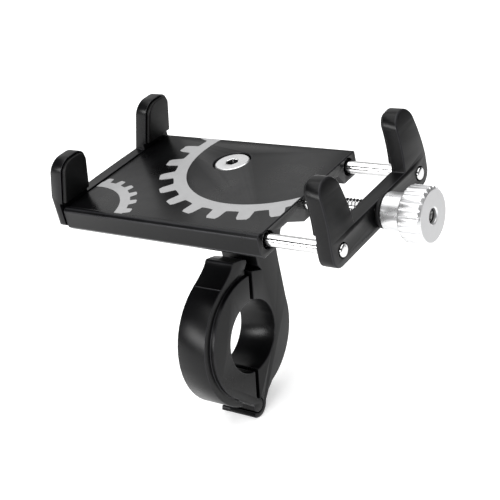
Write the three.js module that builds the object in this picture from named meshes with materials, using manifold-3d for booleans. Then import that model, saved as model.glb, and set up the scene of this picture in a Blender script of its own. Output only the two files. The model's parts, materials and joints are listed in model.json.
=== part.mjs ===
// Handlebar phone mount. Millimetres, +Z up along the plate's normal, +X along the guide rods.
// The origin is the middle of the handlebar bore, and the handlebar runs along X.
import * as THREE from "three";
import { mergeVertices } from "three/addons/utils/BufferGeometryUtils.js";
import Module from "manifold-3d";

const wasm = await Module();
wasm.setup();

// ---- driving dimensions ------------------------------------------------------------------------
const GAP = 0.3; // clearance between pieces that touch
const BORE_RADIUS = 11.1; // 22.2 mm handlebar

// Cradle plate, measured from the middle of its top face before the assembly is moved to the bore.
const PLATE_LENGTH = 67.5;
const PLATE_WIDTH = 49.7;
const FLOOR_DEPTH = 0.3;
const LIP_WIDTH = 1.1;
const LIP_CHAMFER = 0.8;
const SLAB_BOTTOM = -3.3;
const BOSS_BOTTOM = -7.1;
const BOSS_CHAMFER = 1.3;
const EDGE_ROUNDING = 0.4;

// Rods and screw share one height.
const AXIS_HEIGHT = -3.3;
const ROD_SPACING = 41;
const ROD_RADIUS = 1.75;
const ROD_BORE_RADIUS = 2.05;
const ROD_INNER_END = -15.5;
const ROD_STANDOUT = 0.7;
const SCREW_RADIUS = 2.2;
const SCREW_BORE_RADIUS = 2.5;
const SCREW_INNER_END = -2;

// Jaws.
const FIXED_JAW_OUTER = -37.7;
const FIXED_JAW_THICKNESS = 3.6;
const FIXED_JAW_BOTTOM = -5.8;
const MOVING_JAW_INNER = 51.4;
const MOVING_JAW_OUTER = 55.8;
const MOVING_JAW_TOP = 0.4;
const MOVING_JAW_BOTTOM = -7.3;
const MOVING_JAW_ROUNDING = 3.6;
const JAW_HALF_WIDTH = 25.2;
const JAW_CORNER_RADIUS = 2.4;
const CLAW_SINK = 1; // how far a claw's foot runs down into its jaw
const CLAW_WIDTH = 11.8;
const CLAW_HEIGHT = 15;
const CLAW_TOP_RADIUS = 4.2;
const CLAW_THICKNESS = 4.1;
const FIXED_CLAW = { topWidth: 10.8, reach: 4.3, curl: 1 };
const MOVING_CLAW = { topWidth: 9.2, reach: 2.2, curl: 2 };
const PAD_THICKNESS = 1.1;
const PAD_INSET = 0.7;
const PAD_RECESS = 0.9;
const PAD_START = 1.75; // pads and claws over the plate leave this much room above its lip

// Screws that hold the fixed jaw.
const JAW_SCREW_Y = 6;
const JAW_SCREW_RADIUS = 1.5;
const JAW_SCREW_HEAD_RADIUS = 2.9;
const JAW_SCREW_HEAD_HEIGHT = 1.6;
const JAW_SCREW_END = 7.5 - PLATE_LENGTH / 2;
const JAW_SCREW_SOCKET_RADIUS = 1.3;

// Retaining ring that keeps the screw in the moving jaw.
const CLIP_RADIUS = 3;
const CLIP_START = MOVING_JAW_INNER + 0.4;
const CLIP_END = CLIP_START + 0.8;
const CLIP_POCKET_END = CLIP_END + GAP;
const CLIP_SLOT = 1.8;
const GROOVE_DEPTH = 0.6;

// Knob.
const WASHER_RADIUS = 4.7;
const KNOB_COLLAR_RADIUS = 5;
const KNOB_COLLAR_START = 57.4;
const KNOB_BARREL_START = 63.4;
const KNOB_END = 70;
const KNOB_RADIUS = 7.5;
const KNOB_CHAMFER = 0.7;
const KNOB_FLUTES = 24;
const KNOB_HOLE_RADIUS = 2;
const SCREW_HEAD_RADIUS = 3.4;
const SCREW_HEAD_START = KNOB_BARREL_START + 1;
const SCREW_HEAD_END = KNOB_END - 1.2;
const SCREW_SOCKET_RADIUS = 1.9;

// Swivel between plate and clamp.
const SWIVEL_Y = 12.2;
const SWIVEL_HEAD_RADIUS = 5.25;
const SWIVEL_SHANK_RADIUS = 2.5;
const SWIVEL_SOCKET_RADIUS = 1.95;
const SWIVEL_HEAD_TOP = -FLOOR_DEPTH - 0.2;
const SWIVEL_LEDGE = -2.6;
const SWIVEL_BOSS_RADIUS = 7;
const SWIVEL_WASHER_RADIUS = 6.2;
const SWIVEL_WASHER_THICKNESS = 0.9;
const SWIVEL_TIP = -21;
const SOCKET_DEPTH = 2;

// Clamp ring, in its own frame: u to the rear across the split, v up along it.
const RING_Y = -4.1;
const RING_Z = -49.4;
const RING_TILT = THREE.MathUtils.degToRad(14);
const RING_WIDTH = 12.9;
const RING_RADIUS = 19;
const BAND_WIDTH = 10;
const BAND_RADIUS = 21.5;
const SPLIT_FRONT = -0.35;
const SPLIT_REAR = 1.35;
const KNUCKLE = new THREE.Vector2(0.3, -22.3);
const KNUCKLE_RADIUS = 2.15;
const HOOK_RADIUS = 3.95;
const LIP_SETBACK = 3.3; // how much shorter the hook's lip is at its far end
const NECK_FRONT = 5.4;
const NECK_REAR = 19;
const NECK_TOP = BOSS_BOTTOM - SWIVEL_WASHER_THICKNESS - 2 * GAP;
const PINCH_HEIGHT = 15.6;
const PINCH_RADIUS = 2;
const PINCH_HEAD_RADIUS = 3.5;
const PINCH_HEAD_HEIGHT = 3.8;
const PINCH_SEAT = 10.8;
const PINCH_TIP = -6.5;
const PINCH_SWING = 1; // extra room for the bolt while the front half swings past it
const PINCH_SOCKET_RADIUS = 1.75;

const ROUND = 40; // sides of a large circle
const SMALL_ROUND = 24; // sides of a small circle

// ---- materials ---------------------------------------------------------------------------------
const finish = (color, roughness, metalness) => () =>
  new THREE.MeshStandardMaterial({ color, roughness, metalness });
const blackAnodised = finish(0x17171b, 0.38, 0.6);
const rubber = finish(0x0b0b0d, 0.75, 0);
const chrome = finish(0xe4e6ea, 0.15, 1);
const brightAluminium = finish(0xdcdde0, 0.32, 1);
const blackSteel = finish(0x131315, 0.45, 0.8);
const nylon = finish(0x0e0e10, 0.6, 0);

// ---- solids and booleans -----------------------------------------------------------------------
function solid(geometry) {
  const bare = geometry.clone();
  bare.deleteAttribute("normal");
  bare.deleteAttribute("uv");
  const merged = mergeVertices(bare, 1e-4);
  const vertProperties = new Float32Array(merged.attributes.position.array);
  const triVerts = new Uint32Array(merged.index.array);
  return new wasm.Manifold(new wasm.Mesh({ numProp: 3, vertProperties, triVerts }));
}

function geometryOf(body) {
  const mesh = body.getMesh();
  const geometry = new THREE.BufferGeometry();
  geometry.setAttribute("position", new THREE.BufferAttribute(mesh.vertProperties, 3));
  geometry.setIndex(new THREE.BufferAttribute(mesh.triVerts, 1));
  geometry.computeVertexNormals();
  return geometry;
}

const join = (first, ...others) => others.reduce((body, other) => body.add(other), first);
const cut = (first, ...others) => others.reduce((body, other) => body.subtract(other), first);

function box(x0, x1, y0, y1, z0, z1) {
  const geometry = new THREE.BoxGeometry(x1 - x0, y1 - y0, z1 - z0);
  geometry.translate((x0 + x1) / 2, (y0 + y1) / 2, (z0 + z1) / 2);
  return solid(geometry);
}

// A cylinder along X through (y, z).
function rodX(radius, x0, x1, y, z, sides = SMALL_ROUND) {
  const geometry = new THREE.CylinderGeometry(radius, radius, x1 - x0, sides);
  geometry.rotateZ(-Math.PI / 2);
  geometry.translate((x0 + x1) / 2, y, z);
  return solid(geometry);
}

// A cylinder along Z through (x, y).
function rodZ(radius, z0, z1, x, y, sides = SMALL_ROUND) {
  const geometry = new THREE.CylinderGeometry(radius, radius, z1 - z0, sides);
  geometry.rotateX(Math.PI / 2);
  geometry.translate(x, y, (z0 + z1) / 2);
  return solid(geometry);
}

// An outline in (y, z) extruded along X.
function extrudeX(shape, x0, x1, curveSegments = 8) {
  const geometry = new THREE.ExtrudeGeometry(shape, { depth: x1 - x0, bevelEnabled: false, curveSegments });
  geometry.applyMatrix4(new THREE.Matrix4().set(0, 0, 1, x0, 1, 0, 0, 0, 0, 1, 0, 0, 0, 0, 0, 1));
  return solid(geometry);
}

// An outline in (x, z) extruded along Y.
function extrudeY(shape, y0, y1) {
  const geometry = new THREE.ExtrudeGeometry(shape, { depth: y1 - y0, bevelEnabled: false });
  geometry.rotateX(Math.PI / 2);
  geometry.translate(0, y1, 0);
  return solid(geometry);
}

// An outline in (x, y) extruded along Z.
function extrudeZ(shape, z0, z1, curveSegments = 8) {
  const geometry = new THREE.ExtrudeGeometry(shape, { depth: z1 - z0, bevelEnabled: false, curveSegments });
  geometry.translate(0, 0, z0);
  return solid(geometry);
}

// A solid of revolution about the X axis through (y, z), from a profile of (x, radius) points.
function latheX(profile, y, z, sides = ROUND) {
  const points = profile.map(([x, radius]) => new THREE.Vector2(radius, x));
  const geometry = new THREE.LatheGeometry(points, sides);
  geometry.rotateZ(-Math.PI / 2);
  geometry.translate(0, y, z);
  return solid(geometry);
}

const outline = (...points) => new THREE.Shape(points.map(([a, b]) => new THREE.Vector2(a, b)));

function roundedBox(width, height, radius) {
  const w = width / 2;
  const h = height / 2;
  const shape = new THREE.Shape();
  shape.moveTo(w - radius, -h);
  shape.absarc(w - radius, -h + radius, radius, -Math.PI / 2, 0);
  shape.absarc(w - radius, h - radius, radius, 0, Math.PI / 2);
  shape.absarc(-w + radius, h - radius, radius, Math.PI / 2, Math.PI);
  shape.absarc(-w + radius, -h + radius, radius, Math.PI, 1.5 * Math.PI);
  shape.closePath();
  return shape;
}

// A beam standing on z = 0 with rounded lower corners.
function beamOutline(halfWidth, height, radius) {
  const shape = new THREE.Shape();
  shape.moveTo(halfWidth, height);
  shape.lineTo(-halfWidth, height);
  shape.absarc(radius - halfWidth, radius, radius, Math.PI, 1.5 * Math.PI);
  shape.absarc(halfWidth - radius, radius, radius, -Math.PI / 2, 0);
  shape.closePath();
  return shape;
}

const moved = (body, x, y, z) => body.translate([x, y, z]);

function hexagon(radius) {
  const corners = [...Array(6).keys()].map((i) => (i * Math.PI) / 3);
  return outline(...corners.map((angle) => [radius * Math.cos(angle), radius * Math.sin(angle)]));
}

// The group that holds every piece, moved so that the bore's middle is the origin.
const phoneMount = new THREE.Group();
phoneMount.position.set(0, -RING_Y, -RING_Z);

function add(name, body, material, parent = phoneMount) {
  const mesh = new THREE.Mesh(geometryOf(body), material());
  mesh.name = name;
  parent.add(mesh);
}

const HALF = PLATE_LENGTH / 2;
const ROD_Y = ROD_SPACING / 2;
const sides = [
  ["front", -1],
  ["back", 1],
];

// ---- cradle plate ------------------------------------------------------------------------------
// One side of the underside: screw boss with sloping flank, slab, then the rod boss.
function cradlePlate() {
  const edge = PLATE_WIDTH / 2;
  const front = [
    [-4.2, BOSS_BOTTOM],
    [-11.5, SLAB_BOTTOM],
    [-14.5, SLAB_BOTTOM],
    [-16.8, BOSS_BOTTOM + 0.3],
    [-17.6, BOSS_BOTTOM],
    [BOSS_CHAMFER - edge, BOSS_BOTTOM],
    [-edge, BOSS_BOTTOM + BOSS_CHAMFER],
  ];
  const back = front.map(([y, z]) => [-y, z]).reverse();
  const profile = outline(
    ...front,
    [-edge, -LIP_CHAMFER],
    [LIP_CHAMFER - edge, 0],
    [LIP_CHAMFER + LIP_WIDTH - edge, 0],
    [LIP_CHAMFER + LIP_WIDTH + FLOOR_DEPTH - edge, -FLOOR_DEPTH],
    [edge - EDGE_ROUNDING, -FLOOR_DEPTH],
    [edge, -FLOOR_DEPTH - EDGE_ROUNDING],
    ...back,
  );
  const body = extrudeX(profile, -HALF, HALF);
  const boss = rodZ(SWIVEL_BOSS_RADIUS, BOSS_BOTTOM, SLAB_BOTTOM + 1, 0, SWIVEL_Y, ROUND);
  const rodBores = sides.flatMap(([, side]) => [
    rodX(ROD_BORE_RADIUS, -HALF - 1, HALF + 1, side * ROD_Y, AXIS_HEIGHT),
    rodX(ROD_BORE_RADIUS + 0.45, HALF - 1.6, HALF + 1, side * ROD_Y, AXIS_HEIGHT),
  ]);
  const screwBore = rodX(SCREW_BORE_RADIUS, -HALF + 6, HALF + 1, 0, AXIS_HEIGHT);
  const counterbore = rodZ(SWIVEL_HEAD_RADIUS + 0.4, SWIVEL_LEDGE, 1, 0, SWIVEL_Y, ROUND);
  const boltHole = rodZ(SWIVEL_SHANK_RADIUS + GAP, BOSS_BOTTOM - 1, 0, 0, SWIVEL_Y);
  const jawHoles = sides.map(([, side]) =>
    rodX(JAW_SCREW_RADIUS + GAP, -HALF - 1, JAW_SCREW_END + 1, side * JAW_SCREW_Y, AXIS_HEIGHT),
  );
  return cut(join(body, boss), ...rodBores, screwBore, counterbore, boltHole, ...jawHoles);
}

// ---- claws and pads ----------------------------------------------------------------------------
// The claw seen along X: a tapered tongue with a rounded top, straight-sided below z = 0.
function clawOutline(style, inset, bottom) {
  const w = CLAW_WIDTH / 2 - inset;
  const t = style.topWidth / 2 - inset;
  const top = CLAW_HEIGHT - inset;
  const r = CLAW_TOP_RADIUS - inset;
  const shape = new THREE.Shape();
  shape.moveTo(-w, bottom);
  shape.lineTo(w, bottom);
  if (bottom < 0) shape.lineTo(w, 0);
  shape.lineTo(t, top - r);
  shape.absarc(t - r, top - r, r, 0, Math.PI / 2);
  shape.absarc(r - t, top - r, r, Math.PI / 2, Math.PI);
  if (bottom < 0) shape.lineTo(-w, 0);
  shape.closePath();
  return shape;
}

// The claw seen along Y, from depth near to depth far behind its outer face. It bends inward as it
// rises, and its tip reaches style.reach further in than its foot. A curl of 1 is a straight lean.
function clawSide(style, inward, near, far, bottom) {
  const steps = 10;
  const start = Math.max(bottom, 0);
  const rise = (CLAW_HEIGHT + 1 - start) / steps;
  const levels = [...Array(steps + 1).keys()].map((i) => start + i * rise);
  if (bottom < 0) levels.unshift(bottom);
  const bend = (z) => style.reach * Math.max(0, z / CLAW_HEIGHT) ** style.curl;
  const up = levels.map((z) => [inward * (near + bend(z)), z]);
  const down = levels.map((z) => [inward * (far + bend(z)), z]).reverse();
  return outline(...up, ...down);
}

const clawSolid = (style, inward, near, far, inset, bottom) =>
  extrudeX(clawOutline(style, inset, bottom), -20, 20, 10).intersect(
    extrudeY(clawSide(style, inward, near, far, bottom), -10, 10),
  );

// A claw on a jaw whose outer face is at x = 0, with its inner face toward +X times inward.
function claw(style, inward) {
  const tongue = clawSolid(style, inward, 0, CLAW_THICKNESS, 0, -CLAW_SINK);
  const floor = CLAW_THICKNESS - PAD_RECESS - GAP;
  return cut(tongue, clawSolid(style, inward, floor, CLAW_THICKNESS + 2, PAD_INSET - GAP, PAD_START - GAP));
}

const CLAW_Y = JAW_HALF_WIDTH - CLAW_WIDTH / 2;

// The pads are part sunk in the claws' inner faces and part proud of them.
function addPads(jawName, style, outerX, inward, base) {
  const sunk = CLAW_THICKNESS - PAD_RECESS;
  const proud = CLAW_THICKNESS + PAD_THICKNESS;
  const pad = clawSolid(style, inward, sunk, proud, PAD_INSET, PAD_START);
  for (const [place, side] of sides) {
    add(`${jawName}_pad_${place}`, moved(pad, outerX, side * CLAW_Y, base), rubber);
  }
}

// ---- fixed jaw ---------------------------------------------------------------------------------
function fixedJaw() {
  const inner = FIXED_JAW_OUTER + FIXED_JAW_THICKNESS;
  const plan = roundedBox(2 * FIXED_JAW_THICKNESS, 2 * JAW_HALF_WIDTH, JAW_CORNER_RADIUS);
  const rounded = moved(extrudeZ(plan, FIXED_JAW_BOTTOM - 1, CLAW_HEIGHT + 1), inner, 0, 0);
  const front = beamOutline(JAW_HALF_WIDTH, -FIXED_JAW_BOTTOM, 1.5);
  const bar = moved(extrudeX(front, FIXED_JAW_OUTER - 1, inner), 0, 0, FIXED_JAW_BOTTOM);
  const top = CLAW_HEIGHT + 1;
  const overPlate = box(inner, inner + 9, -JAW_HALF_WIDTH, JAW_HALF_WIDTH, PAD_START, top);
  const overJaw = rounded.intersect(box(FIXED_JAW_OUTER - 1, inner, -40, 40, -CLAW_SINK - 1, top));
  const within = overJaw.add(overPlate);
  const claws = sides.map(([, side]) =>
    moved(claw(FIXED_CLAW, 1), FIXED_JAW_OUTER, side * CLAW_Y, 0).intersect(within),
  );
  const headEnd = FIXED_JAW_OUTER + JAW_SCREW_HEAD_HEIGHT + GAP;
  const holes = sides.flatMap(([, side]) => [
    rodX(JAW_SCREW_RADIUS + GAP, FIXED_JAW_OUTER - 1, inner + 1, side * JAW_SCREW_Y, AXIS_HEIGHT),
    rodX(JAW_SCREW_HEAD_RADIUS + GAP, FIXED_JAW_OUTER - 1, headEnd, side * JAW_SCREW_Y, AXIS_HEIGHT),
  ]);
  return cut(join(bar.intersect(rounded), ...claws), ...holes);
}

// A flat-headed screw with a hexagon socket in its outer face.
function jawScrew(side) {
  const y = side * JAW_SCREW_Y;
  const headEnd = FIXED_JAW_OUTER + JAW_SCREW_HEAD_HEIGHT;
  const head = rodX(JAW_SCREW_HEAD_RADIUS, FIXED_JAW_OUTER, headEnd, y, AXIS_HEIGHT);
  const shank = rodX(JAW_SCREW_RADIUS, headEnd - 0.5, JAW_SCREW_END, y, AXIS_HEIGHT);
  const socket = extrudeX(hexagon(JAW_SCREW_SOCKET_RADIUS), FIXED_JAW_OUTER - 1, FIXED_JAW_OUTER + 1);
  return cut(join(head, shank), moved(socket, 0, y, AXIS_HEIGHT));
}

// ---- moving jaw --------------------------------------------------------------------------------
function movingJaw() {
  const height = MOVING_JAW_TOP - MOVING_JAW_BOTTOM;
  const front = beamOutline(JAW_HALF_WIDTH, height, MOVING_JAW_ROUNDING);
  const beam = moved(extrudeX(front, MOVING_JAW_INNER, MOVING_JAW_OUTER), 0, 0, MOVING_JAW_BOTTOM);
  const claws = sides.map(([, side]) =>
    moved(claw(MOVING_CLAW, -1), MOVING_JAW_OUTER, side * CLAW_Y, MOVING_JAW_TOP),
  );
  const rodSockets = sides.map(([, side]) =>
    rodX(ROD_RADIUS + GAP, MOVING_JAW_INNER - 3, MOVING_JAW_OUTER + 3, side * ROD_Y, AXIS_HEIGHT),
  );
  const screwHole = rodX(SCREW_BORE_RADIUS, MOVING_JAW_INNER - 1, MOVING_JAW_OUTER + 1, 0, AXIS_HEIGHT);
  const clipPocket = rodX(CLIP_RADIUS + 0.2, MOVING_JAW_INNER - 1, CLIP_POCKET_END, 0, AXIS_HEIGHT);
  return cut(join(beam, ...claws), ...rodSockets, screwHole, clipPocket);
}

// ---- rods, screw and knob ----------------------------------------------------------------------
function guideRod(side) {
  const end = MOVING_JAW_OUTER + ROD_STANDOUT;
  const profile = [
    [ROD_INNER_END, 0],
    [ROD_INNER_END, ROD_RADIUS - 0.3],
    [ROD_INNER_END + 0.3, ROD_RADIUS],
    [end - 0.4, ROD_RADIUS],
    [end - 0.1, ROD_RADIUS - 0.4],
    [end, 0],
  ];
  return latheX(profile, side * ROD_Y, AXIS_HEIGHT, SMALL_ROUND);
}

// The screw's hexagon-socketed head sits inside the knob. A groove takes the retaining ring.
function leadScrew() {
  const neck = SCREW_RADIUS - GROOVE_DEPTH;
  const profile = [
    [SCREW_INNER_END, 0],
    [SCREW_INNER_END, SCREW_RADIUS - 0.6],
    [SCREW_INNER_END + 0.6, SCREW_RADIUS],
    [CLIP_START - 0.1, SCREW_RADIUS],
    [CLIP_START - 0.1, neck],
    [CLIP_END + 0.1, neck],
    [CLIP_END + 0.1, SCREW_RADIUS],
    [SCREW_HEAD_START, SCREW_RADIUS],
    [SCREW_HEAD_START, SCREW_HEAD_RADIUS],
    [SCREW_HEAD_END, SCREW_HEAD_RADIUS],
    [SCREW_HEAD_END, 0],
  ];
  const socket = extrudeX(hexagon(SCREW_SOCKET_RADIUS), SCREW_HEAD_END - SOCKET_DEPTH, SCREW_HEAD_END + 1);
  return cut(latheX(profile, 0, AXIS_HEIGHT, SMALL_ROUND), moved(socket, 0, 0, AXIS_HEIGHT));
}

// A ring with a gap on its lower side, as a retaining ring has.
function screwClip() {
  const ring = cut(
    rodX(CLIP_RADIUS, CLIP_START, CLIP_END, 0, AXIS_HEIGHT),
    rodX(SCREW_RADIUS - GROOVE_DEPTH + GAP, CLIP_START - 1, CLIP_END + 1, 0, AXIS_HEIGHT),
  );
  const w = CLIP_SLOT / 2;
  return cut(ring, box(CLIP_START - 1, CLIP_END + 1, -w, w, AXIS_HEIGHT - 10, AXIS_HEIGHT));
}

function thrustWasher() {
  const start = MOVING_JAW_OUTER + GAP;
  const end = KNOB_COLLAR_START - GAP;
  return cut(
    rodX(WASHER_RADIUS, start, end, 0, AXIS_HEIGHT, ROUND),
    rodX(SCREW_RADIUS + GAP, start - 1, end + 1, 0, AXIS_HEIGHT),
  );
}

// The fluted barrel's outline: a shallow round groove between each pair of narrow lands.
function fluteOutline(radius) {
  const points = [];
  for (let i = 0; i < KNOB_FLUTES; i += 1) {
    for (const [share, depth] of [[-0.28, 0], [0.28, 0], [0.42, 0.4], [0.58, 0.4]]) {
      const angle = ((i + share) * 2 * Math.PI) / KNOB_FLUTES;
      points.push([(radius - depth) * Math.cos(angle), (radius - depth) * Math.sin(angle)]);
    }
  }
  return outline(...points);
}

function thumbKnob() {
  const barrel = moved(extrudeX(fluteOutline(KNOB_RADIUS), KNOB_BARREL_START, KNOB_END), 0, 0, AXIS_HEIGHT);
  const envelope = latheX(
    [
      [KNOB_BARREL_START, 0],
      [KNOB_BARREL_START, KNOB_RADIUS - KNOB_CHAMFER],
      [KNOB_BARREL_START + KNOB_CHAMFER, KNOB_RADIUS],
      [KNOB_END - KNOB_CHAMFER, KNOB_RADIUS],
      [KNOB_END, KNOB_RADIUS - KNOB_CHAMFER],
      [KNOB_END, 0],
    ],
    0,
    AXIS_HEIGHT,
  );
  const collar = rodX(KNOB_COLLAR_RADIUS, KNOB_COLLAR_START, KNOB_BARREL_START + 1, 0, AXIS_HEIGHT, ROUND);
  const shaft = rodX(SCREW_RADIUS + GAP, KNOB_COLLAR_START - 1, KNOB_BARREL_START + 2, 0, AXIS_HEIGHT);
  const pocketStart = SCREW_HEAD_START - GAP;
  const pocket = rodX(SCREW_HEAD_RADIUS + GAP, pocketStart, SCREW_HEAD_END + GAP, 0, AXIS_HEIGHT);
  const hole = rodX(KNOB_HOLE_RADIUS, SCREW_HEAD_END - 1, KNOB_END + 1, 0, AXIS_HEIGHT);
  return cut(join(barrel.intersect(envelope), collar), shaft, pocket, hole);
}

// ---- swivel ------------------------------------------------------------------------------------
function swivelBolt() {
  const points = [
    [0, SWIVEL_TIP],
    [SWIVEL_SHANK_RADIUS - 0.5, SWIVEL_TIP],
    [SWIVEL_SHANK_RADIUS, SWIVEL_TIP + 0.5],
    [SWIVEL_SHANK_RADIUS, SWIVEL_LEDGE + GAP],
    [SWIVEL_HEAD_RADIUS, SWIVEL_LEDGE + GAP],
    [SWIVEL_HEAD_RADIUS, SWIVEL_HEAD_TOP - 0.4],
    [SWIVEL_HEAD_RADIUS - 0.4, SWIVEL_HEAD_TOP],
    [0, SWIVEL_HEAD_TOP],
  ].map(([radius, z]) => new THREE.Vector2(radius, z));
  const turned = new THREE.LatheGeometry(points, ROUND);
  turned.rotateX(Math.PI / 2);
  turned.translate(0, SWIVEL_Y, 0);
  const socket = extrudeZ(hexagon(SWIVEL_SOCKET_RADIUS), SWIVEL_HEAD_TOP - SOCKET_DEPTH, 1);
  return cut(solid(turned), moved(socket, 0, SWIVEL_Y, 0));
}

function swivelWasher() {
  const top = BOSS_BOTTOM - GAP;
  return cut(
    rodZ(SWIVEL_WASHER_RADIUS, top - SWIVEL_WASHER_THICKNESS, top, 0, SWIVEL_Y, ROUND),
    rodZ(SWIVEL_SHANK_RADIUS + GAP, top - 5, top + 5, 0, SWIVEL_Y),
  );
}

// ---- clamp -------------------------------------------------------------------------------------
// Everything below is drawn in the ring's own (u, v) frame and turned once, in clampFrame.
const clampFrame = new THREE.Group();
clampFrame.position.set(0, RING_Y, RING_Z);
clampFrame.rotation.x = -RING_TILT;
phoneMount.add(clampFrame);

// A point of the plate's (y, z) plane in the ring's (u, v) frame.
function fromPlate(y, z) {
  const du = y - RING_Y;
  const dv = z - RING_Z;
  const cos = Math.cos(RING_TILT);
  const sin = Math.sin(RING_TILT);
  return [du * cos - dv * sin, du * sin + dv * cos];
}

const ringWide = (shape) => extrudeX(shape, -RING_WIDTH / 2, RING_WIDTH / 2);
const bandWide = (shape) => extrudeX(shape, -BAND_WIDTH / 2, BAND_WIDTH / 2);
const throughRing = (shape) => extrudeX(shape, -RING_WIDTH, RING_WIDTH);
const bore = () => rodX(BORE_RADIUS, -20, 20, 0, 0, 64);

function clampRearHalf() {
  const w = RING_WIDTH / 2;
  const disc = rodX(RING_RADIUS, -w, w, 0, 0, 64);
  const neck = outline([6.2, 18.9], [1, 19.9], [2, 12], [11, 10], fromPlate(14.8, -48));
  neck.splineThru(
    [[15, -42], [15.7, -28], [NECK_REAR, NECK_TOP]].map(([y, z]) => new THREE.Vector2(...fromPlate(y, z))),
  );
  neck.lineTo(...fromPlate(NECK_FRONT, NECK_TOP));
  neck.lineTo(...fromPlate(NECK_FRONT, -27.8));
  neck.lineTo(4.6, 20.6);
  const hook = join(
    rodX(HOOK_RADIUS, -w, w, KNUCKLE.x, KNUCKLE.y, ROUND),
    ringWide(outline([2, -17], [8.4, -17], [5.9, -19.4], [4.2, -22.2], [0.5, -22])),
  );
  const frontSpace = throughRing(
    outline([-60, -20.1], [SPLIT_REAR, -20.1], [SPLIT_REAR, 21], [-2, 21], [-2, 40], [-60, 40]),
  );
  const socket = rodX(KNUCKLE_RADIUS + GAP, -w - 1, w + 1, KNUCKLE.x, KNUCKLE.y);
  const pinchHole = pinchRod(PINCH_RADIUS + GAP, 0, PINCH_SEAT + 1);
  const pinchSeat = pinchRod(PINCH_HEAD_RADIUS + GAP, PINCH_SEAT, 30);
  const swivelHole = plateRod(SWIVEL_SHANK_RADIUS + GAP, SWIVEL_TIP - 1, NECK_TOP + 2);
  const lipEnd = box(-w - 1, LIP_SETBACK - w, -60, -1.5, -60, -19);
  const cuts = [frontSpace, hookMouth(), lipEnd, socket, bore(), pinchHole, pinchSeat, swivelHole];
  return cut(join(disc, ringWide(neck), hook), ...cuts);
}

// The wedge that opens the hook toward the front, from straight up to just before the lip.
function hookMouth() {
  const reach = 9;
  const ends = [85, 110, 145, 190, 235].map((degrees) => {
    const angle = THREE.MathUtils.degToRad(degrees);
    return [KNUCKLE.x + reach * Math.cos(angle), KNUCKLE.y + reach * Math.sin(angle)];
  });
  return throughRing(outline([KNUCKLE.x, KNUCKLE.y], ...ends));
}

// A cylinder along u at the pinch bolt's height.
function pinchRod(radius, u0, u1) {
  const geometry = new THREE.CylinderGeometry(radius, radius, u1 - u0, SMALL_ROUND);
  geometry.translate(0, (u0 + u1) / 2, PINCH_HEIGHT);
  return solid(geometry);
}

// A cylinder along the plate's normal through the swivel axis, in the ring's frame.
function plateRod(radius, z0, z1) {
  const geometry = new THREE.CylinderGeometry(radius, radius, z1 - z0, SMALL_ROUND);
  geometry.rotateX(Math.PI / 2);
  geometry.translate(0, SWIVEL_Y - RING_Y, (z0 + z1) / 2 - RING_Z);
  geometry.rotateX(RING_TILT);
  return solid(geometry);
}

function clampFrontHalf() {
  const w = RING_WIDTH / 2;
  const b = BAND_WIDTH / 2;
  const ring = rodX(RING_RADIUS, -w, w, 0, 0, 64);
  const band = rodX(BAND_RADIUS, -b, b, 0, 0, 64);
  const rearSpace = throughRing(outline([SPLIT_FRONT, -19.4], [60, -19.4], [60, 60], [SPLIT_FRONT, 60]));
  const below = throughRing(outline([-5.5, -17], [60, -17], [60, -60], [-5.5, -60]));
  const ear = outline(
    [-12, 16.5],
    [SPLIT_FRONT, 16.5],
    [SPLIT_FRONT, 20.4],
    [1.1, 22.3],
    [0.9, 23.3],
    [-1.4, 23.9],
    [-5.2, 24.1],
    [-5.8, 23.7],
  );
  ear.quadraticCurveTo(-6.2, 21.75, -12, 17.85);
  const knuckle = rodX(KNUCKLE_RADIUS, -w, w, KNUCKLE.x, KNUCKLE.y);
  const tongue = ringWide(
    outline(
      [-9, -15],
      [SPLIT_FRONT, -15],
      [SPLIT_FRONT, -19.6],
      [0.6, -20.4],
      [0.2, -21.9],
      [-1.6, -21.4],
      [-4.2, -20.3],
      [-6.6, -18.9],
      [-9, -17.2],
    ),
  );
  const hole = pinchRod(PINCH_RADIUS + PINCH_SWING, PINCH_TIP - 1, 5);
  const halves = cut(join(ring, band), rearSpace, below);
  return cut(join(halves, bandWide(ear), knuckle, tongue), bore(), hole);
}

// The pinch bolt goes in from the rear, its socket head sunk in the rear half.
function pinchBolt() {
  const headStart = PINCH_SEAT + GAP;
  const headEnd = headStart + PINCH_HEAD_HEIGHT;
  const head = pinchRod(PINCH_HEAD_RADIUS, headStart, headEnd);
  const shank = pinchRod(PINCH_RADIUS, PINCH_TIP, headStart + 1);
  const socket = extrudeY(hexagon(PINCH_SOCKET_RADIUS), headEnd - SOCKET_DEPTH, headEnd + 1);
  return cut(join(head, shank), moved(socket, 0, 0, PINCH_HEIGHT));
}

// ---- assembly ----------------------------------------------------------------------------------
add("cradle_plate", cradlePlate(), blackAnodised);
add("fixed_jaw", fixedJaw(), blackAnodised);
addPads("fixed", FIXED_CLAW, FIXED_JAW_OUTER, 1, 0);
add("moving_jaw", movingJaw(), blackAnodised);
addPads("moving", MOVING_CLAW, MOVING_JAW_OUTER, -1, MOVING_JAW_TOP);
for (const [place, side] of sides) {
  add(`fixed_jaw_screw_${place}`, jawScrew(side), blackSteel);
  add(`guide_rod_${place}`, guideRod(side), chrome);
}
add("lead_screw", leadScrew(), chrome);
add("screw_clip", screwClip(), blackSteel);
add("thrust_washer", thrustWasher(), nylon);
add("thumb_knob", thumbKnob(), brightAluminium);
add("swivel_bolt", swivelBolt(), brightAluminium);
add("swivel_washer", swivelWasher(), nylon);
add("clamp_rear_half", clampRearHalf(), blackAnodised, clampFrame);
add("clamp_front_half", clampFrontHalf(), blackAnodised, clampFrame);
add("pinch_bolt", pinchBolt(), blackSteel, clampFrame);

export default phoneMount;
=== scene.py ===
# The looks of the handlebar phone mount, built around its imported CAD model. Metres, +Z up.
import json
import math

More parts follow.
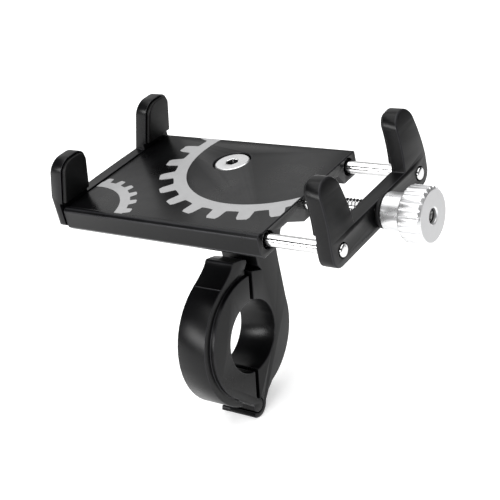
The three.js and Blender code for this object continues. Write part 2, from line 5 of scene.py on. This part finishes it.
import bmesh
import bpy
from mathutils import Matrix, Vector

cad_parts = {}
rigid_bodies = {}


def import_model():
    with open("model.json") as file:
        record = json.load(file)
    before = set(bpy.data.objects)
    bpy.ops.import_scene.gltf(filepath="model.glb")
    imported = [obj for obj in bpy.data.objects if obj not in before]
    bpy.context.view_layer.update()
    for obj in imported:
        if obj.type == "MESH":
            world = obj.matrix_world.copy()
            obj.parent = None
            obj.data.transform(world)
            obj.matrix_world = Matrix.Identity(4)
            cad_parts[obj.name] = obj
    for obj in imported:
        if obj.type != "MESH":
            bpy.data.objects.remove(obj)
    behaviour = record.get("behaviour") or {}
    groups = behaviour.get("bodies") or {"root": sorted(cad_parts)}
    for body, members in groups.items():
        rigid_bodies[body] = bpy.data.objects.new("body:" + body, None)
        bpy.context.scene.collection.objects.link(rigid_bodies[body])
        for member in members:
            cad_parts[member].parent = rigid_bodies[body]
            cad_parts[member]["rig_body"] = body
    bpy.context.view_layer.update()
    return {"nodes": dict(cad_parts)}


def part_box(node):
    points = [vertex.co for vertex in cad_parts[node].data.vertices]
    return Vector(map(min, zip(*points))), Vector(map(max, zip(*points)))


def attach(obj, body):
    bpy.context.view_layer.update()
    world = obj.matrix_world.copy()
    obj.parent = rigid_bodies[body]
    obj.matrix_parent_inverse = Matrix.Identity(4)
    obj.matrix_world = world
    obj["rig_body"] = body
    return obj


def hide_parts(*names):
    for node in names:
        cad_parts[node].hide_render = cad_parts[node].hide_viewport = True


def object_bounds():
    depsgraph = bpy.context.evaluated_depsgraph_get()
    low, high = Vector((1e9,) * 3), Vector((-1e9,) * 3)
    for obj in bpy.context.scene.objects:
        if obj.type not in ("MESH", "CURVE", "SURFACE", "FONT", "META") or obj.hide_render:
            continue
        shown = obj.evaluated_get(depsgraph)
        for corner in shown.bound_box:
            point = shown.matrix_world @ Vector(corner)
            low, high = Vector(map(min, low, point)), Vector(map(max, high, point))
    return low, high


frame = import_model()
MM = 0.001
SHARP = math.radians(28)

# ---- materials ---------------------------------------------------------------------------------


class Nodes:
    """A material's nodes, made and linked with short calls."""

    def __init__(self, name):
        self.material = bpy.data.materials.new(name)
        self.material.use_nodes = True
        self.tree = self.material.node_tree
        self.tree.nodes.clear()
        output = self.tree.nodes.new("ShaderNodeOutputMaterial")
        self.shader = self.tree.nodes.new("ShaderNodeBsdfPrincipled")
        self.link(self.shader.outputs["BSDF"], output.inputs["Surface"])

    def link(self, source, target):
        self.tree.links.new(source, target)

    def place(self, scale=(1, 1, 1), centre=(0, 0, 0)):
        """Object coordinates, moved so that centre is at zero and then scaled."""
        coordinates = self.tree.nodes.new("ShaderNodeTexCoord")
        mapping = self.tree.nodes.new("ShaderNodeMapping")
        mapping.inputs["Location"].default_value = [-c * s for c, s in zip(centre, scale)]
        mapping.inputs["Scale"].default_value = scale
        self.link(coordinates.outputs["Object"], mapping.inputs["Vector"])
        return mapping.outputs["Vector"]

    def noise(self, vector, scale, detail=3):
        node = self.tree.nodes.new("ShaderNodeTexNoise")
        node.inputs["Scale"].default_value = scale
        node.inputs["Detail"].default_value = detail
        node.inputs["Roughness"].default_value = 0.55
        self.link(vector, node.inputs["Vector"])
        return node.outputs["Fac"]

    def rings(self, vector, scale):
        """Fine turning marks round the X axis."""
        node = self.tree.nodes.new("ShaderNodeTexWave")
        node.wave_type = "RINGS"
        node.rings_direction = "X"
        node.inputs["Scale"].default_value = scale
        node.inputs["Distortion"].default_value = 0.6
        node.inputs["Detail"].default_value = 2.0
        self.link(vector, node.inputs["Vector"])
        return node.outputs["Fac"]

    def colours(self, source, dark, light, start=0.3, end=0.7):
        """A base colour that runs from dark to light as source runs from start to end."""
        node = self.tree.nodes.new("ShaderNodeValToRGB")
        elements = node.color_ramp.elements
        for element, position, colour in zip(elements, (start, end), (dark, light)):
            element.position = position
            element.color = (*colour, 1.0)
        self.link(source, node.inputs["Fac"])
        self.link(node.outputs["Color"], self.shader.inputs["Base Color"])

    def roughness(self, source, low, high):
        """A roughness that runs from low to high over the middle of source's range."""
        node = self.tree.nodes.new("ShaderNodeMapRange")
        values = {"From Min": 0.3, "From Max": 0.7, "To Min": low, "To Max": high}
        for key, value in values.items():
            node.inputs[key].default_value = value
        self.link(source, node.inputs["Value"])
        self.link(node.outputs["Result"], self.shader.inputs["Roughness"])

    def bump(self, height, strength, distance, before=None):
        """Relief from a height, on top of the relief before it if there is one."""
        node = self.tree.nodes.new("ShaderNodeBump")
        node.inputs["Strength"].default_value = strength
        node.inputs["Distance"].default_value = distance
        self.link(height, node.inputs["Height"])
        if before is not None:
            self.link(before, node.inputs["Normal"])
        self.link(node.outputs["Normal"], self.shader.inputs["Normal"])
        return node.outputs["Normal"]

    def set(self, **values):
        """Sets the shader's own sockets."""
        for key, value in values.items():
            self.shader.inputs[key.replace("_", " ")].default_value = value


def grey(value, blue=1.0):
    """A grey, with its blue channel times blue."""
    return (value, value, value * blue)


def anodised(name, dark, light, rough):
    """Bead-blasted black anodised aluminium."""
    n = Nodes(name)
    here = n.place()
    clouds = n.noise(here, 90, detail=4)
    n.colours(clouds, grey(dark, 1.12), grey(light, 1.1), end=0.75)
    n.roughness(clouds, rough, rough + 0.08)
    blasted = n.bump(n.noise(here, 7000, detail=2), strength=0.10, distance=0.02 * MM)
    n.bump(n.noise(here, 320), strength=0.05, distance=0.2 * MM, before=blasted)
    n.set(IOR=1.26)
    return n.material


def turned_metal(name, axis, dark, light, rough, marks, strength, metallic):
    """Bright metal with fine turning marks round the X axis through axis."""
    n = Nodes(name)
    here = n.place(centre=axis)
    clouds = n.noise(here, 160, detail=4)
    n.colours(clouds, grey(dark, 1.01), grey(light, 1.01))
    n.roughness(clouds, rough, rough + 0.1)
    n.bump(n.rings(here, marks), strength, distance=0.02 * MM)
    n.set(Metallic=metallic)
    return n.material


def drawn_metal(name, dark, light, rough):
    """Polished rod with faint marks along X."""
    n = Nodes(name)
    along = n.place(scale=(0.02, 1, 1))
    streaks = n.noise(along, 2600)
    n.colours(n.noise(n.place(), 240), grey(dark), grey(light), start=0.35)
    n.roughness(streaks, rough, rough + 0.07)
    n.bump(streaks, strength=0.12, distance=0.01 * MM)
    n.set(Metallic=1.0)
    return n.material


def moulded(name, dark, light, rough, grain, strength):
    """Soft black rubber or nylon with a moulded grain."""
    n = Nodes(name)
    here = n.place()
    clouds = n.noise(here, 140, detail=4)
    n.colours(clouds, grey(dark, 1.1), grey(light, 1.1))
    n.roughness(clouds, rough, rough + 0.12)
    n.bump(n.noise(here, grain, detail=2), strength, distance=0.04 * MM)
    n.set(IOR=1.3)
    return n.material


def printed():
    """Pale grey ink on the plate."""
    n = Nodes("grey_ink")
    here = n.place()
    clouds = n.noise(here, 500, detail=4)
    n.colours(clouds, grey(0.31, 1.01), grey(0.34, 1.01))
    n.roughness(clouds, 0.42, 0.55)
    n.bump(n.noise(here, 6000), strength=0.1, distance=0.02 * MM)
    return n.material


def studio_floor():
    """White paper that shines a little of its own light, so that its shadows stay pale."""
    n = Nodes("floor_paper")
    here = n.place()
    clouds = n.noise(here, 6)
    n.colours(clouds, grey(0.90), grey(0.92))
    n.roughness(clouds, 0.8, 0.9)
    n.bump(n.noise(here, 900), strength=0.05, distance=0.2 * MM)
    n.set(Emission_Color=(1.0, 1.0, 1.0, 1.0), Emission_Strength=0.42)
    return n.material


screw_low, screw_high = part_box("lead_screw")
AXIS_Y = (screw_low.y + screw_high.y) / 2
AXIS_Z = (screw_low.z + screw_high.z) / 2
SCREW_AXIS = (0.0, AXIS_Y, AXIS_Z)

ANODISED = anodised("black_anodised", 0.0022, 0.0040, 0.26)
# a lighter copy of the anodised finish that paints a highlight on the rounded edges
ANODISED_PAINTED_HIGHLIGHT = anodised("black_anodised_painted_highlight", 0.011, 0.019, 0.27)
RUBBER = moulded("pad_rubber", 0.001, 0.002, 0.5, grain=5200, strength=0.25)
NYLON = moulded("black_nylon", 0.004, 0.007, 0.45, grain=4200, strength=0.2)
# dark steel for the screws and clip; the swivel bolt's socket also takes it, as painted shade
BLACK_STEEL_AND_SOCKET_SHADE = anodised("black_steel", 0.010, 0.018, 0.28)
CHROME = drawn_metal("rod_chrome", 0.60, 0.68, 0.10)
ALUMINIUM = turned_metal(
    "bright_aluminium", SCREW_AXIS, 0.64, 0.72, 0.25,
    marks=900, strength=0.15, metallic=0.8,
)
# a lighter, smoother copy of the bright aluminium that paints a highlight on the bolt's rounded
# edges
ALUMINIUM_PAINTED_HIGHLIGHT = turned_metal(
    "bright_aluminium_painted_highlight", SCREW_AXIS, 0.66, 0.74, 0.22,
    marks=900, strength=0.05, metallic=0.9,
)
# a darker copy of the bright aluminium for the knob's turned face: painted shade, with a rougher
# finish of its own
ALUMINIUM_FACE_PAINTED_SHADE = turned_metal(
    "bright_aluminium_face_painted_shade", SCREW_AXIS, 0.40, 0.45, 0.32,
    marks=900, strength=0.2, metallic=0.85,
)
INK = printed()
FLOOR_PAPER = studio_floor()

# ---- making pieces -----------------------------------------------------------------------------


def build(name, mesh, body, materials, replaced=()):
    """Links a mesh as a piece that rides on a body and stands for the replaced nodes."""
    mesh.name = name
    obj = bpy.data.objects.new(name, mesh)
    bpy.context.scene.collection.objects.link(obj)
    for material in materials:
        mesh.materials.append(material)
    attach(obj, body)
    if replaced:
        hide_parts(*replaced)
    return obj


def from_bmesh(bm):
    """A smooth-shaded mesh from bm, which is freed."""
    mesh = bpy.data.meshes.new("piece")
    bm.normal_update()
    bm.to_mesh(mesh)
    bm.free()
    mesh.shade_smooth()
    return mesh


def outline_of(node):
    """The CAD node's shape with its flat faces whole again."""
    bm = bmesh.new()
    bm.from_mesh(frame["nodes"][node].data)
    bmesh.ops.remove_doubles(bm, verts=bm.verts, dist=0.002 * MM)
    for layer in list(bm.loops.layers.uv.values()):
        bm.loops.layers.uv.remove(layer)
    for face in bm.faces:
        face.material_index = 0
        face.smooth = True
    bmesh.ops.dissolve_limit(
        bm, angle_limit=math.radians(0.6), verts=bm.verts, edges=bm.edges, delimit=set()
    )
    return bm


def machined(node, materials, width, wide=None, wide_width=0.0, segments=3, prepare=None):
    """The CAD node's shape with its sharp edges rounded by width, or by wide_width where wide says.

    A second material, a lighter copy that paints a highlight, goes on the rounded edges. prepare
    may clean the shape up first.
    """
    bm = outline_of(node)
    if prepare:
        prepare(bm)
    weights = bm.edges.layers.float.new("bevel_weight_edge")
    largest = max(width, wide_width)
    for edge in bm.edges:
        if len(edge.link_faces) == 2 and edge.calc_face_angle(0) > SHARP:
            middle = (edge.verts[0].co + edge.verts[1].co) / 2
            normals = [face.normal for face in edge.link_faces]
            here = wide_width if wide and wide(middle, normals) else width
            edge[weights] = here / largest
    mesh = bpy.data.meshes.new(node)
    bm.to_mesh(mesh)
    bm.free()
    body = frame["nodes"][node]["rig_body"]
    obj = build(f"{node}_finished", mesh, body, materials, [node])
    bevel = obj.modifiers.new("edges", "BEVEL")
    bevel.limit_method = "WEIGHT"
    bevel.width = largest
    bevel.segments = segments
    bevel.use_clamp_overlap = False
    bevel.harden_normals = True
    bevel.miter_outer = "MITER_ARC"
    # the rounded edges take the second material, which paints a highlight on them
    if len(materials) > 1:
        bevel.material = 1
    return obj


def turned(rings, sides, centre_y, centre_z, closed=False):
    """A mesh of rings round the X axis through (centre_y, centre_z).

    Each ring is (x, radius), where radius is a number or a function of the angle. Ends are
    closed with a flat face, unless the last ring joins the first.
    """
    bm = bmesh.new()
    rows = []
    for x, radius in rings:
        row = []
        for i in range(sides):
            angle = 2 * math.pi * i / sides
            r = radius(angle) if callable(radius) else radius
            place = (x, centre_y + r * math.cos(angle), centre_z + r * math.sin(angle))
            row.append(bm.verts.new(place))
        rows.append(row)
    pairs = list(zip(rows, rows[1:]))
    if closed:
        pairs.append((rows[-1], rows[0]))
    for row, following in pairs:
        for i in range(sides):
            j = (i + 1) % sides
            bm.faces.new((row[i], row[j], following[j], following[i]))
    if not closed:
        bm.faces.new(rows[0])
        bm.faces.new(rows[-1])
    bmesh.ops.recalc_face_normals(bm, faces=bm.faces)
    return bm


def sharpened(mesh, degrees=32):
    """The mesh with its edges shaded sharp over an angle."""
    mesh.set_sharp_from_angle(angle=math.radians(degrees))
    return mesh


def hexagon(radius):
    """The radius of a hexagon at each angle, with corners at radius."""
    sector = math.pi / 3
    apothem = radius * math.cos(sector / 2)
    return lambda angle: apothem / math.cos((angle % sector) - sector / 2)


# ---- machined bodies ---------------------------------------------------------------------------
plate_low, plate_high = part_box("cradle_plate")
LIP_TOP = plate_high.z
FLOOR_TOP = LIP_TOP - 0.3 * MM
ROD_Y = 20.5 * MM
HOLE_ROOM = 2.9 * MM  # from a rod's or the screw's axis to past the edge of its hole
CLAWS_START = LIP_TOP + 2.2 * MM
CLAW_TIP = 3.6 * MM
SLIVER = 0.26 * MM
SOCKET_RADIUS = 1.9 * MM
SOCKET_DEPTH = 2.5 * MM

# how far each kind of edge is rounded
PLATE_EDGE = 0.28 * MM
CLAMP_EDGE = 0.25 * MM
JAW_EDGE = 0.17 * MM
JAW_OUTER_EDGE = 0.42 * MM
PAD_EDGE = 0.42 * MM
BOLT_EDGE = 0.20 * MM
SMALL_EDGE = 0.15 * MM


def rims_face(normals, facing):
    """True for an edge between a side and a face that looks towards facing, -1 or 1, on X."""
    outer = max(facing * n.x for n in normals)
    flank = min(abs(n.x) for n in normals)
    return outer > 0.8 and flank < 0.4


def fixed_outside(middle, normals):
    """The edges between a fixed claw's outer face and its sides."""
    return middle.z > LIP_TOP + 0.1 * MM and rims_face(normals, -1)


def moving_outside(middle, normals):
    """The whole outline of the moving jaw's outer face, but not the holes in it."""
    across = middle.y - AXIS_Y
    from_hole = min(math.hypot(across - y, middle.z - AXIS_Z) for y in (-ROD_Y, 0, ROD_Y))
    return from_hole > HOLE_ROOM and rims_face(normals, 1)


def without_slivers(bm):
    """Joins corners that nearly meet in the claws, so that their rounded edges stay even."""
    claws = [v for v in bm.verts if v.co.z > CLAWS_START]
    bmesh.ops.remove_doubles(bm, verts=claws, dist=SLIVER)
    top = max(v.co.z for v in bm.verts)
    across = [
        e
        for e in bm.edges
        if min(v.co.z for v in e.verts) > top - CLAW_TIP
        and len(e.link_faces) == 2
        and e.calc_face_angle(0) < math.radians(5)
        and min(abs(f.normal.x) for f in e.link_faces) > 0.8
    ]
    bmesh.ops.dissolve_edges(bm, edges=across, use_verts=False)


BLACK = [ANODISED, ANODISED_PAINTED_HIGHLIGHT]
machined("cradle_plate", BLACK, PLATE_EDGE)
for node, outside in (("fixed_jaw", fixed_outside), ("moving_jaw", moving_outside)):
    machined(
        node, BLACK, JAW_EDGE,
        wide=outside, wide_width=JAW_OUTER_EDGE, segments=4, prepare=without_slivers,
    )
for node in ("clamp_rear_half", "clamp_front_half"):
    machined(node, BLACK, CLAMP_EDGE)
for node in ("pinch_bolt", "fixed_jaw_screw_front", "fixed_jaw_screw_back", "screw_clip"):
    machined(node, [BLACK_STEEL_AND_SOCKET_SHADE], SMALL_EDGE)
for node in ("swivel_washer", "thrust_washer"):
    machined(node, [NYLON], SMALL_EDGE)
for jaw in ("fixed", "moving"):
    for place in ("front", "back"):
        pad = machined(f"{jaw}_pad_{place}", [RUBBER], PAD_EDGE, segments=4)

# the bolt's third material paints shade into the inside of its socket
bolt = machined(
    "swivel_bolt", [ALUMINIUM, ALUMINIUM_PAINTED_HIGHLIGHT, BLACK_STEEL_AND_SOCKET_SHADE], BOLT_EDGE
)
bolt_low, bolt_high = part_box("swivel_bolt")
bolt_y = (bolt_low.y + bolt_high.y) / 2
for polygon in bolt.data.polygons:
    from_axis = math.hypot(polygon.center.x, polygon.center.y - bolt_y)
    depth = bolt_high.z - polygon.center.z
    if from_axis < SOCKET_RADIUS and 0.1 * MM < depth < SOCKET_DEPTH:
        polygon.material_index = 2

# ---- rods --------------------------------------------------------------------------------------
# the near end is chamfered, and the end that shows in the moving jaw is rounded over
for place in ("front", "back"):
    node = f"guide_rod_{place}"
    low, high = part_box(node)
    radius = (high.z - low.z) / 2
    profile = [
        (low.x, radius * 0.3),
        (low.x, radius - 0.35 * MM),
        (low.x + 0.3 * MM, radius),
        (high.x - 0.62 * MM, radius),
        (high.x - 0.40 * MM, radius - 0.06 * MM),
        (high.x - 0.22 * MM, radius - 0.24 * MM),
        (high.x - 0.10 * MM, radius - 0.60 * MM),
        (high.x - 0.02 * MM, radius * 0.35),
        (high.x, radius * 0.1),
    ]
    bm = turned(profile, 56, (low.y + high.y) / 2, (low.z + high.z) / 2)
    mesh = sharpened(from_bmesh(bm))
    build(f"{node}_polished", mesh, "moving_jaw", [CHROME], [node])

# ---- lead screw --------------------------------------------------------------------------------
PITCH = 1.0 * MM
MAJOR = 2.2 * MM
MINOR = 1.62 * MM
CREST = 0.18  # share of the pitch that is flat crest, and the same for the root


def thread(x):
    """The thread's radius at each angle of the section at x: a right-hand thread."""

    def radius(angle):
        phase = (x / PITCH - angle / (2 * math.pi)) % 1.0
        ramp = abs(2 * phase - 1)
        share = min(1.0, max(0.0, (ramp - CREST) / (1 - 2 * CREST)))
        return MINOR + (MAJOR - MINOR) * share

    return radius


clip_low, clip_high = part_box("screw_clip")
knob_low, knob_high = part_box("thumb_knob")
HEAD_END = knob_high.x - 1.2 * MM
HEAD_START = HEAD_END - 4.4 * MM
HEAD_RADIUS = 3.4 * MM
HEAD_CHAMFER = 0.2 * MM
HEX_RADIUS = 1.9 * MM
STEPS = 8  # sections to each turn of the thread
thread_start = screw_low.x + 0.5 * MM
thread_end = clip_low.x - 0.6 * MM
shank_start = clip_high.x + 0.2 * MM
count = round((thread_end - screw_low.x) / (PITCH / STEPS)) - 4
sections = [thread_start + i * PITCH / STEPS for i in range(count)]
screw_rings = [
    (screw_low.x, 1.0 * MM),
    *((x, thread(x)) for x in sections),
    (thread_end, MINOR),
    (shank_start, MINOR),
    (shank_start, MAJOR),
    (HEAD_START, MAJOR),
    (HEAD_START, HEAD_RADIUS - HEAD_CHAMFER),
    (HEAD_START + HEAD_CHAMFER, HEAD_RADIUS),
    (HEAD_END - HEAD_CHAMFER, HEAD_RADIUS),
    (HEAD_END, HEAD_RADIUS - HEAD_CHAMFER),
    (HEAD_END, hexagon(HEX_RADIUS + 0.05 * MM)),
    (HEAD_END - 0.1 * MM, hexagon(HEX_RADIUS)),
    (HEAD_END - 2.0 * MM, hexagon(HEX_RADIUS)),
]
bm = turned(screw_rings, 36, AXIS_Y, AXIS_Z)
mesh = sharpened(from_bmesh(bm), 40)
build("lead_screw_threaded", mesh, "screw", [CHROME], ["lead_screw"])

# ---- thumb knob --------------------------------------------------------------------------------
FLUTES = 24
KNOB_RADIUS = (knob_high.z - knob_low.z) / 2
COLLAR_RADIUS = 5.0 * MM
RELIEF = 0.22 * MM  # depth of the groove between the collar and the barrel
BARREL = 6.6 * MM
FLUTE_DEPTH = 0.42 * MM
MOUTH_RADIUS = 2.0 * MM
MOUTH_DEPTH = 0.9 * MM
POCKET_RADIUS = 3.7 * MM
BORE_RADIUS = 2.5 * MM


def fluted(limit):
    """The barrel's radius at each angle, cut by the flutes and never over limit."""

    def radius(angle):
        share = (angle * FLUTES / (2 * math.pi)) % 1.0
        off = abs(share - 0.5)
        depth = FLUTE_DEPTH * min(1.0, max(0.0, (0.22 - off) / 0.14))
        return min(limit, KNOB_RADIUS - depth)

    return radius


back = knob_high.x - BARREL
face = knob_high.x
barrel_end = [
    # (depth from the barrel's end, radius)
    (0.42 * MM, fluted(KNOB_RADIUS - 0.30 * MM)),
    (0.66 * MM, fluted(KNOB_RADIUS - 0.05 * MM)),
    (0.80 * MM, fluted(KNOB_RADIUS)),
]
knob_rings = [
    (knob_low.x, COLLAR_RADIUS - 0.35 * MM),
    (knob_low.x + 0.12 * MM, COLLAR_RADIUS - 0.12 * MM),
    (knob_low.x + 0.35 * MM, COLLAR_RADIUS),
    (back - 0.75 * MM, COLLAR_RADIUS),
    (back - 0.70 * MM, COLLAR_RADIUS - RELIEF),
    (back - 0.22 * MM, COLLAR_RADIUS - RELIEF),
    (back, COLLAR_RADIUS),
    (back, KNOB_RADIUS - 0.75 * MM),
    (back + 0.10 * MM, KNOB_RADIUS - 0.60 * MM),
    *((back + depth, radius) for depth, radius in barrel_end),
    *((face - depth, radius) for depth, radius in reversed(barrel_end)),
    (face - 0.10 * MM, KNOB_RADIUS - 0.62 * MM),
    (face, KNOB_RADIUS - 0.80 * MM),
    (face, MOUTH_RADIUS + 0.35 * MM),
    (face - 0.12 * MM, MOUTH_RADIUS + 0.12 * MM),
    (face - 0.30 * MM, MOUTH_RADIUS),
    (face - MOUTH_DEPTH, MOUTH_RADIUS),
    (face - MOUTH_DEPTH, POCKET_RADIUS),
    (HEAD_START - 0.3 * MM, POCKET_RADIUS),
    (HEAD_START - 0.3 * MM, BORE_RADIUS),
    (knob_low.x, BORE_RADIUS),
]
bm = turned(knob_rings, FLUTES * 10, AXIS_Y, AXIS_Z, closed=True)
mesh = sharpened(from_bmesh(bm), 24)
knob = build(
    "thumb_knob_turned", mesh, "screw", [ALUMINIUM, ALUMINIUM_FACE_PAINTED_SHADE], ["thumb_knob"]
)
# the second material is the turned face: its duller turning marks are its own finish, and its
# darker colour is painted shade
for polygon in knob.data.polygons:
    if polygon.normal.x > 0.9 and polygon.center.x > face - 0.05 * MM:
        polygon.material_index = 1

# ---- gear rings printed on the plate -----------------------------------------------------------
INK_THICKNESS = 0.04 * MM
INK_GAP = 0.004 * MM
SIDE_MARGIN = 0.35 * MM
FRONT_MARGIN = 2.25 * MM
BACK_MARGIN = 0.5 * MM
TEETH = 24
# one tooth: (degrees from its middle, how far out between root and tip)
TOOTH = [(-7.5, 0), (-5.8, 0), (-4.0, 0.04), (-3.1, 0.8), (-2.2, 1), (0, 1), (2.2, 1), (3.1, 0.8),
         (4.0, 0.04), (5.8, 0)]


def gear_ring(name, centre, inner, root, tip, first):
    """A flat toothed ring, cut off where the plate's floor ends.

    centre is in millimetres from the middle of the plate, first is the angle of one tooth.
    """
    centre = INK_BASE + Vector((*centre, 0)) * MM
    bm = bmesh.new()
    corners = []
    for tooth in range(TEETH):
        for offset, out in TOOTH:
            angle = math.radians(first + tooth * 360 / TEETH + offset)
            direction = Vector((math.cos(angle), math.sin(angle), 0))
            ends = [centre + direction * r for r in (inner, root + (tip - root) * out)]
            corners.append([bm.verts.new(end) for end in ends])
    for (a, b), (d, c) in zip(corners, corners[1:] + corners[:1]):
        bm.faces.new((a, b, c, d))
    limits = [
        ((plate_low.x + SIDE_MARGIN, 0, 0), (-1, 0, 0)),
        ((plate_high.x - SIDE_MARGIN, 0, 0), (1, 0, 0)),
        ((0, plate_low.y + FRONT_MARGIN, 0), (0, -1, 0)),
        ((0, plate_high.y - BACK_MARGIN, 0), (0, 1, 0)),
    ]
    for point, outward in limits:
        geometry = bm.verts[:] + bm.edges[:] + bm.faces[:]
        bmesh.ops.bisect_plane(
            bm, geom=geometry, plane_co=point, plane_no=outward, clear_outer=True
        )
    top = bmesh.ops.extrude_face_region(bm, geom=bm.faces[:])["geom"]
    lifted = [v for v in top if isinstance(v, bmesh.types.BMVert)]
    bmesh.ops.translate(bm, verts=lifted, vec=(0, 0, INK_THICKNESS))
    bmesh.ops.recalc_face_normals(bm, faces=bm.faces)
    build(name, sharpened(from_bmesh(bm)), "plate", [INK])


middle_x = (plate_low.x + plate_high.x) / 2
middle_y = (plate_low.y + plate_high.y) / 2
INK_BASE = Vector((middle_x, middle_y, FLOOR_TOP)) + Vector((0, 0, INK_GAP))
gear_ring(
    "large_gear_ring", (14.4, 17.0), inner=27.8 * MM, root=31.5 * MM, tip=35.9 * MM, first=165.5
)
gear_ring(
    "small_gear_ring", (-31.6, -25.8), inner=15.6 * MM, root=18.5 * MM, tip=20.6 * MM, first=0.5
)

# ---- stage, lights and camera ------------------------------------------------------------------
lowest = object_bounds()[0].z
bpy.ops.mesh.primitive_grid_add(
    x_subdivisions=8, y_subdivisions=8, size=8.0, location=(0, 0, lowest - 0.1 * MM)
)
ground = bpy.context.object
ground.name = "studio_floor"
ground.data.materials.append(FLOOR_PAPER)

world = bpy.data.worlds.new("studio")
world.use_nodes = True
background = world.node_tree.nodes["Background"]
background.inputs["Color"].default_value = (0.95, 0.97, 1.0, 1.0)
background.inputs["Strength"].default_value = 0.06
bpy.context.scene.world = world
bpy.context.scene.view_settings.view_transform = "Standard"


def softbox(name, location, target, size, watts):
    """A rectangular lamp at location that looks at target."""
    data = bpy.data.lights.new(name, "AREA")
    data.shape = "RECTANGLE"
    data.size, data.size_y = size
    data.energy = watts
    lamp = bpy.data.objects.new(name, data)
    bpy.context.scene.collection.objects.link(lamp)
    lamp.location = location
    aim = Vector(target) - Vector(location)
    lamp.rotation_euler = aim.to_track_quat("-Z", "Y").to_euler()


softbox("top_box", (0.05, 0.02, 0.75), (0, 0, 0), size=(1.1, 1.1), watts=9.5)
softbox("back_box", (-0.45, 0.50, 0.36), (0, 0, 0.03), size=(0.8, 0.5), watts=1.0)
softbox("front_box", (-0.15, -0.75, 0.30), (0, 0, 0), size=(0.9, 0.20), watts=8)
softbox("right_box", (0.70, 0.05, 0.25), (0, 0, 0.02), size=(0.3, 0.5), watts=0.2)

CAMERA_PLACE = (0.19966, -0.21814, 0.18376)
CAMERA_TURN = (61.2643, 11.7745, 34.1933)  # degrees round X, Y and Z
FOCAL_LENGTH = 83.92  # for a sensor 36 wide, both in millimetres
camera_data = bpy.data.cameras.new("camera")
camera_data.sensor_width = 36.0
camera_data.lens = FOCAL_LENGTH
camera_data.clip_start = 0.01
camera = bpy.data.objects.new("camera", camera_data)
bpy.context.scene.collection.objects.link(camera)
camera.location = CAMERA_PLACE
camera.rotation_euler = [math.radians(angle) for angle in CAMERA_TURN]
bpy.context.scene.camera = camera
